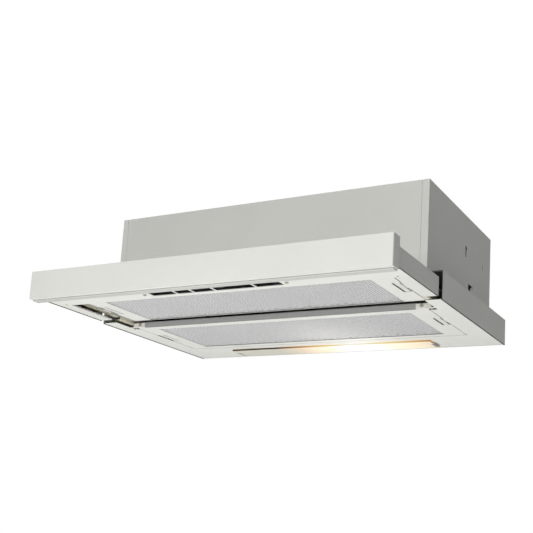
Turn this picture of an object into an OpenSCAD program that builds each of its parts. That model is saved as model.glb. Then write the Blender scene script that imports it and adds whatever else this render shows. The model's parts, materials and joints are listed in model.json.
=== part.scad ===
// Pull-out range hood, drawn with its drawer fully out.
// X runs across the hood, -Y is the room side, Z is up.
// The origin is on the duct axis, on the outer face of the housing top.

/* [Housing] */
// Distance from each side of the lower frame to the motor housing
housing_side_set = 24; // [20:1:40]
// Distance from the rear of the lower frame to the motor housing
housing_rear_set = 12; // [8:1:16]
// Height of the motor housing above the lower frame
housing_h = 138; // [132:1:170]
// Thickness of the sheet steel
sheet_t = 1; // [0.8:0.1:1.2]
// Width of the folds that frame the housing front
front_fold_w = 11; // [8:1:16]
// Gap between the front sheet and its folds
front_sheet_gap = 0.3; // [0.1:0.1:0.6]
// Height of the relief notch at the top of each fold
fold_notch_h = 7; // [4:1:12]
// Width of the relief notch at the top of each fold
fold_notch_w = 2.5; // [1:0.5:4]
// Height of the turned-down edge of the top sheet
top_edge_h = 12; // [8:1:20]

/* [Lower frame] */
// Width of the lower frame and of the fascia
hood_w = 598; // [560:1:640]
// Depth of the lower frame
frame_d = 308; // [290:1:330]
// Height of the lower frame
frame_h = 42; // [41:1:50]
// Height of the turned-down front edge of the frame top
mouth_lip_h = 2; // [2:0.5:4]
// Gap between the underside plate and the side walls
seam_gap = 0.6; // [0.3:0.1:1]
// Depth of the notches that let the drawer rails through the underside
notch_d = 56; // [48:1:60]
// Height of the upturned edge round the filter opening
opening_lip_h = 8; // [6:0.5:8]
// Width of the frame edge under the housing walls
deck_ledge_w = 20; // [14:1:30]

/* [Drawer] */
// Depth of the open drawer, from the fascia face to the front of the frame
drawer_d = 180; // [165:1:185]
// Distance from the frame to the end of the drawer side walls
drawer_gap = 9; // [8:1:20]
// Gap between the closed drawer floor and the screws of the cross rail
stop_gap = 0.4; // [0.3:0.1:2]
// How far each drawer side wall is set in from the fascia end
drawer_inset = 2.5; // [2:0.1:3]
// Height of the drawer floor above the underside of the frame
drawer_lift = 2.5; // [2:0.1:3]
// Height of the drawer side walls
drawer_side_h = 27; // [26:0.5:28]
// Width of the flange under each drawer side wall
side_flange_w = 23; // [21:0.5:23.5]
// Depth of the drawer floor plate behind the fascia
floor_plate_d = 50; // [47:1:54]
// Height of the upturned rear edge of the drawer floor plate
floor_lip_h = 8; // [7:0.5:8]

/* [Fascia] */
// Height of the fascia
fascia_h = 43; // [38:1:48]
// Depth of the fascia, front to back
fascia_d = 20; // [18:1:24]
// How far the fascia hangs below the underside of the frame
fascia_drop = 3; // [1:0.5:5]
// Radius of the fascia's upright edges
fascia_edge_r = 2; // [1.5:0.5:4]
// How far the grip strip is set back from the fascia face
grip_set_back = 7; // [4:1:8]
// Depth of the grip strip
grip_d = 12; // [8:1:12]
// Height of the grip strip
grip_h = 2; // [1.5:0.5:4]
// How far each end of the grip strip is set in
grip_inset = 2; // [1:1:20]

/* [Filters] */
// Distance from each side of the hood to the filter panels
filter_side_set = 38; // [37.5:0.5:45]
// Thickness of the filter panels
filter_t = 7; // [6:0.5:7.5]
// How far the open drawer's filter panel still reaches into the frame
filter_lap = 37.8; // [32:0.1:39]
// Distance from the front of the frame to the rear filter panel
rear_filter_set = 46; // [44:1:47]
// Height of the front filter panel above the underside of the frame
front_filter_lift = 10.5; // [9.6:0.1:11]
// Width of the panel rim at both ends of the mesh
rim_side = 32.5; // [31:0.5:40]
// Width of the panel rim in front of the mesh
rim_front = 16.5; // [12:0.5:20]
// Width of the rear panel's rim behind the mesh
rim_rear = 14; // [10:1:18]
// Width of the front panel's rim behind the mesh
rim_thin = 2; // [1.5:0.5:6]
// Distance from one fold of the filter mat to the next
pleat_pitch = 6; // [5:0.5:10]
// Thickness of the filter mat
mat_t = 1; // [0.6:0.1:1.4]

/* [Latches] */
// Length of a latch along the panel edge
latch_l = 48; // [36:1:54]
// Travel of a latch
latch_travel = 4; // [3:0.5:5]
// Width of the pad that the finger pulls
latch_pad_w = 8.5; // [6:0.5:10]
// Distance from the pad to the panel edge, where the finger goes in
latch_hole_w = 3.5; // [3:0.5:5]
// Thickness of the latch plate
latch_t = 1.5; // [1.2:0.1:2]
// Width of the latch tongue
tongue_w = 16; // [10:1:20]

/* [Rails] */
// Height of the outer rails
rail_h = 21.5; // [20:0.5:22]
// Width of the outer rails
rail_w = 10.5; // [9:0.5:11]
// Thickness of the rail steel
rail_t = 1.2; // [1:0.1:1.4]
// Diameter of the rail balls
ball_dia = 3; // [2.8:0.1:3.2]
// Clearance between a ball and the rails
ball_play = 0.3; // [0.25:0.05:0.4]
// Balls in each row
ball_count = 6; // [4:1:8]

/* [Controls] */
// Width of the control opening in the drawer floor
control_w = 220; // [200:1:230]
// Depth of the control opening in the drawer floor
control_d = 22; // [18:0.5:24]
// Middle of the control opening, off the centre line
control_x = 5; // [-10:1:15]
// Height of the control box
control_h = 16; // [12:0.5:18]
// Width of the strips that cross the control opening
control_web_w = 3; // [2:0.5:4]
// Width of a slider knob
knob_w = 12; // [8:0.5:14]
// Depth of a slider knob
knob_d = 14; // [10:0.5:16]
// Travel of the speed slider over its four places
speed_travel = 48; // [36:1:50]
// Travel of the light slider
light_travel = 12; // [8:1:16]

/* [Blower] */
// Height of the impeller
impeller_h = 60; // [50:1:62]
// Number of impeller blades
blade_count = 36; // [24:2:44]
// Radial depth of a blade
blade_depth = 15; // [12:1:20]
// Thickness of a blade
blade_t = 1.2; // [1:0.1:1.5]
// Gap between the blower casing and the housing, front and back
scroll_wall_gap = 13; // [12:0.5:20]
// Least gap between the impeller and the scroll
scroll_gap = 8; // [6:0.5:9]
// How much the scroll radius grows over its whole turn
scroll_growth = 40; // [30:1:42]
// Inner height of the scroll
scroll_h = 70; // [68:1:76]
// Wall of the moulded blower parts
mould_t = 2; // [1.5:0.1:2.4]
// Distance from the inner ends of the blades to the edge of the air inlet
inlet_set = 2; // [1:0.5:6]
// Diameter of the motor as a share of the impeller's
motor_share = 0.553; // [0.45:0.001:0.58]
// Height of the motor
motor_h = 44; // [36:1:46]
// Radius of the motor shaft
shaft_r = 4; // [3:0.5:5]
// Radial running clearance of shafts and pins
running_play = 0.05; // [0.02:0.01:0.09]

/* [Duct collar] */
// Outer diameter of the duct collar
collar_dia = 119.5; // [100:0.5:122]
// Height of the duct collar above the housing top
collar_h = 35; // [30:1:50]
// Wall of the duct collar
collar_t = 2; // [1.5:0.1:3]
// Width of the collar's base flange
collar_flange_w = 12; // [10:1:16]
// Height of the flap pin above the housing top
flap_pin_z = 12; // [10:0.5:16]
// Thickness of a flap
flap_t = 1.5; // [1:0.1:2]
// Radius of the flap pin
flap_pin_r = 2; // [1.5:0.1:2.5]

/* [Lamp] */
// Length of the lamp window
lamp_w = 384; // [300:1:400]
// Depth of the lamp window
lamp_d = 54; // [48:1:55]
// Distance from the rear filter panel to the lamp window
lamp_set = 19; // [17:1:21]
// Distance from the lamp window to the rear of the frame
lamp_rear_set = 12; // [10:1:16]
// Height of the reflector trough
trough_h = 36; // [35:0.5:37]
// Largest radius of the bulb
bulb_r = 15.5; // [12:0.5:16]
// Length of the bulb's glass
bulb_l = 82; // [60:1:100]

/* [Fixings] */
// Distance from each side of the housing to the cabinet screws
fixing_side_set = 35; // [20:1:60]
// Distance from the front and the back of the housing to the cabinet screws
fixing_end_set = 48; // [40:1:70]
// Radius of the cabinet screw holes
fixing_r = 2.75; // [2:0.25:3.5]
// Radius of the assembly screws
screw_r = 1.5; // [1.2:0.1:1.8]
// Radius of a screw head
screw_head_r = 3; // [2.5:0.1:3.4]
// Height of a screw head
screw_head_h = 1.6; // [1:0.1:2]

/* [Hidden] */

// Smoothness of round parts and of small round parts
$fn = 64;
small_fn = 32;
// Overrun of every cut
over = 1;
// Gap between a fixed piece and its seat
seat = 0.3;
// Radial gap between a screw and its hole
hole_play = 0.1;
screw_hole_r = screw_r + hole_play;

// Housing and frame, worked out
half_w = hood_w / 2;
housing_x = half_w - housing_side_set;
housing_d = frame_d - housing_rear_set;
housing_y = housing_d / 2;
fixing_x = housing_x - fixing_side_set;
fixing_y = housing_y - fixing_end_set;
deck_z = -housing_h;
base_z = deck_z - frame_h;
frame_y0 = -housing_y;
frame_y1 = frame_y0 + frame_d;
frame_in = half_w - sheet_t;
plate_top_z = base_z + sheet_t;
// The top sheet and the intake plate lie inside the wrapped sheet and behind the front sheet
inner_x = housing_x - sheet_t - seat;
inner_y0 = -housing_y + 2 * sheet_t + front_sheet_gap + 2 * seat;
inner_y1 = housing_y - sheet_t - seat;

// Drawer, worked out
face_y = frame_y0 - drawer_d;
fascia_back_y = face_y + fascia_d;
side_end_y = frame_y0 - drawer_gap;
drawer_half = half_w - drawer_inset;
drawer_in = drawer_half - sheet_t;
floor_x = drawer_in - seat;
floor_z = base_z + drawer_lift;
drawer_top_z = floor_z + drawer_side_h;
floor_end_y = fascia_back_y + floor_plate_d;
floor_edge_y = floor_end_y - seat;
flange_x = drawer_half - side_flange_w;
fascia_z0 = base_z - fascia_drop;
fascia_z1 = fascia_z0 + fascia_h;

// Filter panels, worked out
filter_half = half_w - filter_side_set;
mesh_half = filter_half - rim_side;
filter_play = 1;
opening_x = filter_half + filter_play;
front_filter_y0 = floor_end_y + seat;
front_filter_y1 = frame_y0 + filter_lap;
front_filter_z = base_z + front_filter_lift;
rear_filter_y0 = frame_y0 + rear_filter_set;
rear_filter_y1 = frame_y1 - lamp_rear_set - lamp_d - lamp_set;
front_latch_y = (front_filter_y0 + front_filter_y1) / 2;
rear_latch_set = 7;
rear_latch_y = (rear_filter_y0 + rear_filter_y1) / 2 - rear_latch_set;
mat_grip = 3;
mat_wall_gap = 4;
mat_wall_x = mesh_half + mat_wall_gap;
hook_w = 20;
hook_reach = 4.5;
hook_share = 0.62;
hook_x = hook_share * filter_half;

// Latches: the pad lies beside the finger hole, and the tongue reaches past the panel edge
pad_x1 = filter_half - latch_hole_w;
pad_x0 = pad_x1 - latch_pad_w;
latch_slit = 1.5;
latch_pad_gap = 2;
latch_window_x0 = pad_x0 - latch_pad_gap;
latch_lap = 4;
latch_end_play = 1;
latch_lift = sheet_t + seat;
tongue_play = 2;

// Rails: the drawer's inner wall, the fixed channel, the moving channel, then the side wall
duct_wall_gap = 4.5;
duct_wall_x1 = opening_x + duct_wall_gap;
duct_wall_x0 = duct_wall_x1 - sheet_t;
rail_wall_gap = 1.5;
rail_x0 = duct_wall_x1 + rail_wall_gap;
rail_x1 = rail_x0 + rail_w;
rail_lift = 6;
rail_z0 = base_z + rail_lift;
rail_z1 = rail_z0 + rail_h;
rail_set = 4;
rail_y0 = frame_y0 + rail_set;
rail_rear_set = 58;
rail_y1 = frame_y1 - rail_rear_set;
ball_room = ball_dia + 2 * ball_play;
slide_z0 = rail_z0 + rail_t + ball_room;
slide_z1 = rail_z1 - rail_t - ball_room;
slide_in_gap = 3.5;
slide_out_gap = 2.3;
slide_front_set = 20;
slide_end_gap = 19;
slide_x0 = rail_x0 + slide_in_gap;
slide_x1 = rail_x1 + slide_out_gap;
slide_y0 = fascia_back_y + slide_front_set;

// Ears that hold the cross rail, at both ends of the opening for the filters
ear_in_set = 17;
ear_out_gap = 1;
ear_screw_set = 9;
ear_x0 = filter_half - ear_in_set;
ear_x1 = rail_x0 - ear_out_gap;
ear_d = 4;
ear_y1 = rear_filter_y0 - seat;
ear_y0 = ear_y1 - ear_d;
ear_h = filter_t + seat;
ear_screw_x = ear_x0 + ear_screw_set;
ear_screw_z = base_z + ear_h / 2 + seat;
// The drawer stops where its floor meets the heads of the cross rail's screws
drawer_travel = ear_y0 - screw_head_h - stop_gap - floor_edge_y;
slide_y1 = frame_y1 - sheet_t - slide_end_gap - drawer_travel;

// Controls, worked out; a strip's place is a share of the opening from its left end
control_x0 = control_x - control_w / 2;
control_x1 = control_x + control_w / 2;
control_rear_set = 11;
control_y1 = floor_end_y - control_rear_set;
control_y0 = control_y1 - control_d;
control_y = (control_y0 + control_y1) / 2;
web_shares = [0.197, 0.329, 0.497, 0.802];
control_wall = 1.5;
control_z0 = floor_z + sheet_t;
control_z1 = control_z0 + control_h;
knob_set = 2;
speed_knob_x = control_x0 + control_w * web_shares[2] + control_web_w / 2 + knob_set + knob_w / 2;
light_knob_x = control_x1 - knob_w / 2 - knob_set;
knob_lift = 1.2;
knob_low_z = control_z0 + knob_lift;
stem_w = 4;

// Blower, worked out: the impeller is in the middle of the housing's left half, and the scroll
// is as large as the housing's depth and width let it be
impeller_x = -housing_x / 2;
scroll_side_gap = 1;
scroll_r1 = min(housing_y - scroll_wall_gap, housing_x / 2 - scroll_side_gap) - mould_t;
scroll_r0 = scroll_r1 - scroll_growth;
impeller_r = scroll_r0 - scroll_gap;
inlet_r = impeller_r - blade_depth - inlet_set;
motor_r = motor_share * impeller_r;
tongue_turn = 60;
scroll_turn = 330;
scroll_steps = 44;
scroll_z0 = deck_z + sheet_t;
scroll_z1 = scroll_z0 + mould_t + scroll_h;
cover_z = scroll_z1 + mould_t;
impeller_z0 = scroll_z0 + mould_t + (scroll_h - impeller_h) / 2;
impeller_z1 = impeller_z0 + impeller_h;
collar_r = collar_dia / 2;
collar_in = collar_r - collar_t;
plenum_gap = 5;
plenum_x = collar_r + plenum_gap;
tongue_y = scroll_r0 * sin(tongue_turn);
roof_z = -sheet_t;
mount_h = 3;
motor_z0 = cover_z + mount_h;
motor_z1 = motor_z0 + motor_h;
hub_r = 11;
hub_above = 4;
hub_below = 24;
shaft_in_motor = 18;
shaft_end = 2;
shaft_top_z = motor_z0 + shaft_in_motor;
nut_h = 6;
nut_r = 7.5;
nut_z = impeller_z1 - hub_below - nut_h;
shaft_low_z = nut_z - shaft_end;

// Collar, worked out
collar_flange_t = 1.5;
collar_screw_r = collar_r + collar_flange_w / 2;
collar_screw_turns = [45, 135, 225, 315];
flap_gap = 1;
flap_r = collar_in - flap_gap;
knuckle_t = 1.6;
knuckle_gap = 0.8;
knuckle_r = flap_pin_r + knuckle_t;
flap_root = knuckle_r + knuckle_gap;
knuckle_l = 18;
front_knuckle_shares = [-0.67, 0.247];
rear_knuckle_shares = [-0.212, 0.705];

// Lamp, worked out
lamp_y0 = rear_filter_y1 + lamp_set;
lamp_y1 = lamp_y0 + lamp_d;
lamp_y = (lamp_y0 + lamp_y1) / 2;
lamp_half = lamp_w / 2;
trough_margin = 3.5;
trough_x = lamp_half + trough_margin;
trough_z1 = plate_top_z + trough_h;
bulb_gap = 2;
lamp_z = trough_z1 - sheet_t - bulb_r - bulb_gap;
holder_set = 42;
holder_x = lamp_half - holder_set;
cap_l = 20;
cap_r = 7;

// Box between two opposite corners
module block(low, high) {
  translate(low) cube(high - low);
}

// Rectangle between two opposite corners
module pane(low, high) {
  translate(low) square(high - low);
}

// Upright prism of the outline given as children
module prism(z0, z1) {
  translate([0, 0, z0]) linear_extrude(z1 - z0) children();
}

// Box that reaches equally far to both sides of the centre line
module bar(x, y0, y1, z0, z1) {
  block([-x, y0, z0], [x, y1, z1]);
}

// Right-hand piece as drawn, left-hand piece mirrored
module on_side(side) {
  mirror([side < 0 ? 1 : 0, 0, 0]) children();
}

// The same shape on both sides
module both_sides() {
  for (side = [-1, 1]) on_side(side) children();
}

// Upright hole through a sheet
module hole(place, r, z0, z1) {
  translate([place.x, place.y, z0 - over]) cylinder(r = r, h = z1 - z0 + 2 * over, $fn = small_fn);
}

// Screw with a domed head; its shank goes down from the origin
module screw(shank_l) {
  dome_r = (screw_head_r * screw_head_r + screw_head_h * screw_head_h) / (2 * screw_head_h);
  rotate_extrude($fn = small_fn) {
    pane([0, -shank_l], [screw_r, 0]);
    intersection() {
      translate([0, screw_head_h - dome_r]) circle(r = dome_r);
      pane([0, 0], [screw_head_r, screw_head_h]);
    }
  }
}

// Wrapped sheet: both side walls and the back, with folds and their notches at the front.
// Each side has a keyhole slot, a slim slot and a square hole whose tab is bent inwards.
slot_depth_share = 0.0743;
slot_height_share = 0.435;
slim_slot_depth_share = 0.365;
clip_depth_share = 0.1554;
clip_height_share = 0.815;
slot_y = slot_depth_share * housing_d;
slot_z = slot_height_share * deck_z;
slot_w = 6.5;
slot_h = 14;
slot_head_r = 4.5;
slim_slot_y = slim_slot_depth_share * housing_d;
slim_slot_w = 4;
slim_slot_h = 11;
clip_y = clip_depth_share * housing_d;
clip_z = clip_height_share * deck_z;
clip_w = 20;
clip_h = 11;
clip_bend = 3;
clip_tab_h = 8;
module wall_slot(y, w, h) {
  for (end = [-1, 1])
    translate([housing_x - sheet_t - over, y, slot_z + end * (h - w) / 2])
      rotate([0, 90, 0]) cylinder(r = w / 2, h = sheet_t + 2 * over, $fn = small_fn);
  block([housing_x - sheet_t - over, y - w / 2, slot_z - (h - w) / 2],
        [housing_x + over, y + w / 2, slot_z + (h - w) / 2]);
}
module housing_wrap() {
  fold_x = housing_x - front_fold_w;
  color([0.70, 0.70, 0.68]) {
    difference() {
      prism(deck_z, 0)
        difference() {
          pane([-housing_x, -housing_y], [housing_x, housing_y]);
          pane([sheet_t - housing_x, sheet_t - housing_y], [housing_x - sheet_t, housing_y - sheet_t]);
          pane([-fold_x, -housing_y - over], [fold_x, sheet_t - housing_y + over]);
        }
      both_sides() {
        wall_slot(slot_y, slot_w, slot_h);
        wall_slot(slim_slot_y, slim_slot_w, slim_slot_h);
        translate([housing_x - sheet_t - over, slot_y, slot_z + slot_h / 2])
          rotate([0, 90, 0]) cylinder(r = slot_head_r, h = sheet_t + 2 * over, $fn = small_fn);
        block([housing_x - sheet_t - over, clip_y - clip_w / 2, clip_z - clip_h / 2],
              [housing_x + over, clip_y + clip_w / 2, clip_z + clip_h / 2]);
        block([fold_x - over, -housing_y - over, -fold_notch_h], [fold_x + fold_notch_w, sheet_t - housing_y + over, over]);
      }
    }
    both_sides()
      block([housing_x - sheet_t - clip_bend, clip_y + clip_w / 2, clip_z - clip_tab_h / 2],
            [housing_x - sheet_t / 2, clip_y + clip_w / 2 + sheet_t, clip_z + clip_tab_h / 2]);
  }
}

// Front sheet between the folds, with a stepped edge that lies behind them
module housing_front() {
  edge_x = housing_x - front_fold_w - front_sheet_gap;
  step_y = sheet_t - housing_y + front_sheet_gap;
  color([0.76, 0.76, 0.74])
  prism(deck_z, 0) {
    pane([-edge_x, -housing_y], [edge_x, sheet_t - housing_y]);
    both_sides() {
      pane([edge_x - sheet_t, -housing_y], [edge_x, step_y + sheet_t]);
      pane([edge_x - sheet_t, step_y], [inner_x, step_y + sheet_t]);
    }
  }
}

// Top sheet with its turned-down edge, the duct hole, the cabinet screw holes and the cable hole
cable_side_set = 85;
cable_rear_set = 56;
cable_place = [housing_x - cable_side_set, housing_y - cable_rear_set];
cable_r = 8;
cable_play = 0.2;
module housing_top() {
  color([0.72, 0.72, 0.70])
  difference() {
    block([-inner_x, inner_y0, -top_edge_h], [inner_x, inner_y1, 0]);
    block([sheet_t - inner_x, inner_y0 + sheet_t, -top_edge_h - over], [inner_x - sheet_t, inner_y1 - sheet_t, -sheet_t]);
    translate([0, 0, -sheet_t - over]) cylinder(r = collar_in, h = sheet_t + 2 * over);
    for (x = [-1, 1], y = [-1, 1])
      hole([x * fixing_x, y * fixing_y], fixing_r, -sheet_t, 0);
    hole(cable_place, cable_r + cable_play, -sheet_t, 0);
    for (turn = collar_screw_turns)
      hole(collar_screw_r * [cos(turn), sin(turn)], screw_hole_r, -sheet_t, 0);
  }
}

// Places of the screws that hold the intake plate on the frame
ledge_screw_set = 12;
ledge_screw_share = 0.37;
ledge_screws = [
  for (x = [-1, 1], y = [-1, 1]) [x * (housing_x - ledge_screw_set), y * (housing_y - ledge_screw_set)],
  for (x = [-1, 1]) [ledge_screw_share * x * housing_x, ledge_screw_set - housing_y]
];

// Plate that closes the housing at the bottom and carries the blower, with the air inlet
module intake_plate() {
  color([0.66, 0.67, 0.67])
  difference() {
    bar(inner_x, inner_y0, inner_y1, deck_z, scroll_z0);
    translate([impeller_x, 0, deck_z - over]) cylinder(r = inlet_r, h = sheet_t + 2 * over);
    for (place = ledge_screws) hole(place, screw_hole_r, deck_z, scroll_z0);
  }
}

// Lower frame: side walls, rear wall and the top ring that the housing stands on
module lower_frame() {
  ring_x = housing_x - deck_ledge_w;
  ring_y = housing_y - deck_ledge_w;
  color([0.68, 0.68, 0.66])
  difference() {
    union() {
      prism(base_z, deck_z)
        difference() {
          pane([-half_w, frame_y0], [half_w, frame_y1]);
          pane([-frame_in, frame_y0 - over], [frame_in, frame_y1 - sheet_t]);
        }
      prism(deck_z - sheet_t, deck_z)
        difference() {
          pane([-half_w, frame_y0], [half_w, frame_y1]);
          pane([-ring_x, -ring_y], [ring_x, ring_y]);
        }
      bar(half_w, frame_y0, frame_y0 + sheet_t, deck_z - mouth_lip_h, deck_z);
    }
    for (place = ledge_screws) hole(place, screw_hole_r, deck_z - sheet_t, deck_z);
  }
}

// Rear end of the notches in the underside plate
notch_y = frame_y0 + notch_d;

// Underside plate: both margins, the rear part with the lamp window, the upturned edge
// round the rear filter and the ears that carry the cross rail
lip_slot_w = tongue_w + 2 * tongue_play;
module underside_plate() {
  plate_x = frame_in - seam_gap;
  plate_y1 = frame_y1 - sheet_t - seam_gap;
  open_y1 = rear_filter_y1 + filter_play;
  color([0.90, 0.90, 0.88])
  difference() {
    union() {
      prism(base_z, plate_top_z)
        difference() {
          pane([-plate_x, frame_y0], [plate_x, plate_y1]);
          pane([-flange_x + seat, frame_y0 - over], [flange_x - seat, ear_y0]);
          pane([-ear_x0, ear_y0 - over], [ear_x0, open_y1]);
          pane([-flange_x + seat, ear_y1], [flange_x - seat, notch_y]);
          pane([-opening_x, ear_y1], [opening_x, open_y1]);
          pane([-lamp_half, lamp_y0], [lamp_half, lamp_y1]);
        }
      both_sides() {
        block([opening_x, notch_y, base_z], [opening_x + sheet_t, open_y1, base_z + opening_lip_h]);
        block([ear_x0, ear_y0, base_z], [ear_x1, ear_y0 + sheet_t, base_z + ear_h]);
      }
      bar(opening_x + sheet_t, open_y1, open_y1 + sheet_t, base_z, base_z + opening_lip_h);
    }
    both_sides() {
      block([opening_x - over, rear_latch_y - lip_slot_w / 2, plate_top_z],
            [opening_x + sheet_t + over, rear_latch_y + lip_slot_w / 2, base_z + opening_lip_h + over]);
      block([hook_x - hook_w / 2 - filter_play, open_y1 - over, plate_top_z],
            [hook_x + hook_w / 2 + filter_play, open_y1 + sheet_t + over, base_z + opening_lip_h + over]);
      ear_screw_hole();
    }
  }
}
module ear_screw_hole() {
  translate([ear_screw_x, ear_y0 - over, ear_screw_z])
    rotate([-90, 0, 0]) cylinder(r = screw_hole_r, h = ear_d + 2 * over, $fn = small_fn);
}

// Angle that closes the frame in front of the rear filter
rail_angle_top = 3.7;
module cross_rail() {
  angle_y = ear_y0 + sheet_t;
  color([0.55, 0.55, 0.55])
  difference() {
    union() {
      bar(ear_x1, angle_y, angle_y + sheet_t, plate_top_z, base_z + ear_h + sheet_t);
      bar(ear_x0 - seat, angle_y, angle_y + sheet_t, base_z, plate_top_z + over);
      bar(ear_x1, angle_y, rear_filter_y0 + rail_angle_top, base_z + ear_h, base_z + ear_h + sheet_t);
    }
    both_sides() ear_screw_hole();
  }
}

// Fixed rail: a channel that opens towards the side wall, on three feet
foot_l = 14;
foot_gap = 2;
front_foot_y = notch_y + foot_l + foot_gap;
rear_foot_y = rail_y1 - foot_l;
foot_places = [front_foot_y, (front_foot_y + rear_foot_y) / 2, rear_foot_y];
module outer_rail(side) {
  color([0.62, 0.60, 0.54])
  on_side(side) {
    block([rail_x0, rail_y0, rail_z0], [rail_x0 + rail_t, rail_y1, rail_z1]);
    block([rail_x0, rail_y0, rail_z0], [rail_x1, rail_y1, rail_z0 + rail_t]);
    block([rail_x0, rail_y0, rail_z1 - rail_t], [rail_x1, rail_y1, rail_z1]);
    for (y = foot_places) {
      block([rail_x0, y - foot_l / 2, plate_top_z], [rail_x0 + rail_t, y + foot_l / 2, rail_z0 + rail_t]);
      block([opening_x + sheet_t + seat, y - foot_l / 2, plate_top_z],
            [rail_x0 + rail_t, y + foot_l / 2, plate_top_z + rail_t]);
    }
  }
}
module outer_rail_left() { outer_rail(-1); }
module outer_rail_right() { outer_rail(1); }

// Ball cage: a thin channel with two rows of balls
cage_t = 0.8;
cage_gap = 0.5;
cage_end_gap = 4;
leg_share = 0.7;
module ball_cage(side) {
  web_x = rail_x0 + rail_t + cage_gap;
  row_x = (slide_x0 + rail_x1 + cage_gap) / 2;
  leg_x = row_x + leg_share * ball_dia;
  y0 = rail_y0 + cage_end_gap;
  y1 = slide_y1 - cage_end_gap;
  low_z = rail_z0 + rail_t + ball_room / 2;
  high_z = rail_z1 - rail_t - ball_room / 2;
  color([0.75, 0.75, 0.72])
  on_side(side) {
    block([web_x, y0, low_z - cage_t / 2], [web_x + cage_t, y1, high_z + cage_t / 2]);
    for (z = [low_z, high_z]) {
      block([web_x, y0, z - cage_t / 2], [leg_x, y1, z + cage_t / 2]);
      for (i = [0 : ball_count - 1])
        translate([row_x, y0 + (y1 - y0) * (2 * i + 1) / (2 * ball_count), z]) sphere(d = ball_dia, $fn = small_fn);
    }
  }
}
module ball_cage_left() { ball_cage(-1); }
module ball_cage_right() { ball_cage(1); }

// Moving rail: a channel nested in the fixed one, held off the side wall by two spacers
spacer_l = 26;
spacer_front_set = 36;
spacer_rear_set = 40;
spacer_places = [fascia_back_y + spacer_front_set, side_end_y - spacer_rear_set];
module inner_rail(side) {
  color([0.66, 0.62, 0.50])
  on_side(side) {
    block([slide_x1 - rail_t, slide_y0, slide_z0], [slide_x1, slide_y1, slide_z1]);
    block([slide_x0, slide_y0, slide_z0], [slide_x1, slide_y1, slide_z0 + rail_t]);
    block([slide_x0, slide_y0, slide_z1 - rail_t], [slide_x1, slide_y1, slide_z1]);
    for (y = spacer_places)
      difference() {
        block([slide_x1 - rail_t, y - spacer_l / 2, slide_z0], [drawer_in, y + spacer_l / 2, slide_z1]);
        block([slide_x1, y - spacer_l / 2 + rail_t, slide_z0 - over],
              [drawer_in - rail_t, y + spacer_l / 2 - rail_t, slide_z1 + over]);
      }
  }
}
module inner_rail_left() { inner_rail(-1); }
module inner_rail_right() { inner_rail(1); }

// Drawer side: the wall and the flange under it, hemmed along its inner edge
module drawer_side(side) {
  color([0.74, 0.75, 0.73])
  on_side(side) {
    block([drawer_in, fascia_back_y, floor_z], [drawer_half, side_end_y, drawer_top_z]);
    block([flange_x, floor_end_y, floor_z], [drawer_half, side_end_y, floor_z + sheet_t]);
    block([flange_x, floor_end_y, floor_z], [flange_x + sheet_t, side_end_y, floor_z + 2 * sheet_t]);
  }
}
module drawer_side_left() { drawer_side(-1); }
module drawer_side_right() { drawer_side(1); }

// Drawer floor plate behind the fascia, with the control windows and its upturned edges
module drawer_floor() {
  color([0.92, 0.92, 0.90])
  difference() {
    union() {
      prism(floor_z, control_z0)
        difference() {
          pane([-floor_x, fascia_back_y], [floor_x, floor_edge_y]);
          difference() {
            pane([control_x0, control_y0], [control_x1, control_y1]);
            for (share = web_shares)
              translate([control_x0 + control_w * share, 0])
                pane([-control_web_w / 2, control_y0 - over], [control_web_w / 2, control_y1 + over]);
          }
        }
      bar(floor_x, fascia_back_y, fascia_back_y + sheet_t, floor_z, drawer_top_z - sheet_t - seat);
      bar(duct_wall_x1, floor_edge_y - sheet_t, floor_edge_y, floor_z, floor_z + floor_lip_h);
    }
    for (place = floor_screw_places) hole(place, screw_hole_r, floor_z, control_z0);
    fascia_screw_holes();
  }
}

// Drawer top: the cover sheet and the air duct's walls beside the front filter.
// A small tab on each wall keeps the latch tongue from dropping.
module drawer_top() {
  color([0.78, 0.78, 0.76]) {
    bar(floor_x, fascia_back_y + sheet_t + seat, side_end_y, drawer_top_z - sheet_t, drawer_top_z);
    bar(duct_wall_x1, side_end_y - over, front_filter_y1, drawer_top_z - sheet_t, drawer_top_z);
    both_sides() {
      block([duct_wall_x0, floor_end_y, front_filter_z], [duct_wall_x1, front_filter_y1, drawer_top_z]);
      block([opening_x, front_latch_y - lip_slot_w / 2, front_filter_z],
            [duct_wall_x1, front_latch_y + lip_slot_w / 2, front_filter_z + sheet_t]);
    }
  }
}

// Fascia: the face and its four returns, open at the back, with rounded upright edges
fascia_lip_w = 14;
module fascia_outline(inset) {
  x = half_w - inset;
  y0 = face_y + inset;
  r = fascia_edge_r - inset;
  pane([-x, y0 + r], [x, fascia_back_y - inset]);
  pane([r - x, y0], [x - r, y0 + r + over]);
  for (side = [-1, 1]) translate([side * (x - r), y0 + r]) circle(r = r, $fn = small_fn);
}
module fascia() {
  mouth_x = half_w - fascia_lip_w;
  color([0.84, 0.83, 0.80])
  difference() {
    prism(fascia_z0, fascia_z1) fascia_outline(0);
    prism(fascia_z0 + sheet_t, fascia_z1 - sheet_t) fascia_outline(sheet_t);
    bar(mouth_x, fascia_back_y - sheet_t - over, fascia_back_y + over, fascia_z0 + sheet_t, fascia_z1 - sheet_t);
    fascia_screw_holes();
  }
}

// Places of the fascia's screws on both sides, across and up
fascia_screw_set = 9;
fascia_screw_shares = [0.3, 0.75];
fascia_screw_places = [
  for (x = [-1, 1], share = fascia_screw_shares) [x * (half_w - fascia_screw_set), floor_z + share * drawer_side_h]
];
module fascia_screw_holes() {
  for (place = fascia_screw_places)
    translate([place.x, fascia_back_y - sheet_t - over, place.y])
      rotate([-90, 0, 0]) cylinder(r = screw_hole_r, h = 2 * sheet_t + 2 * over, $fn = small_fn);
}

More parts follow.
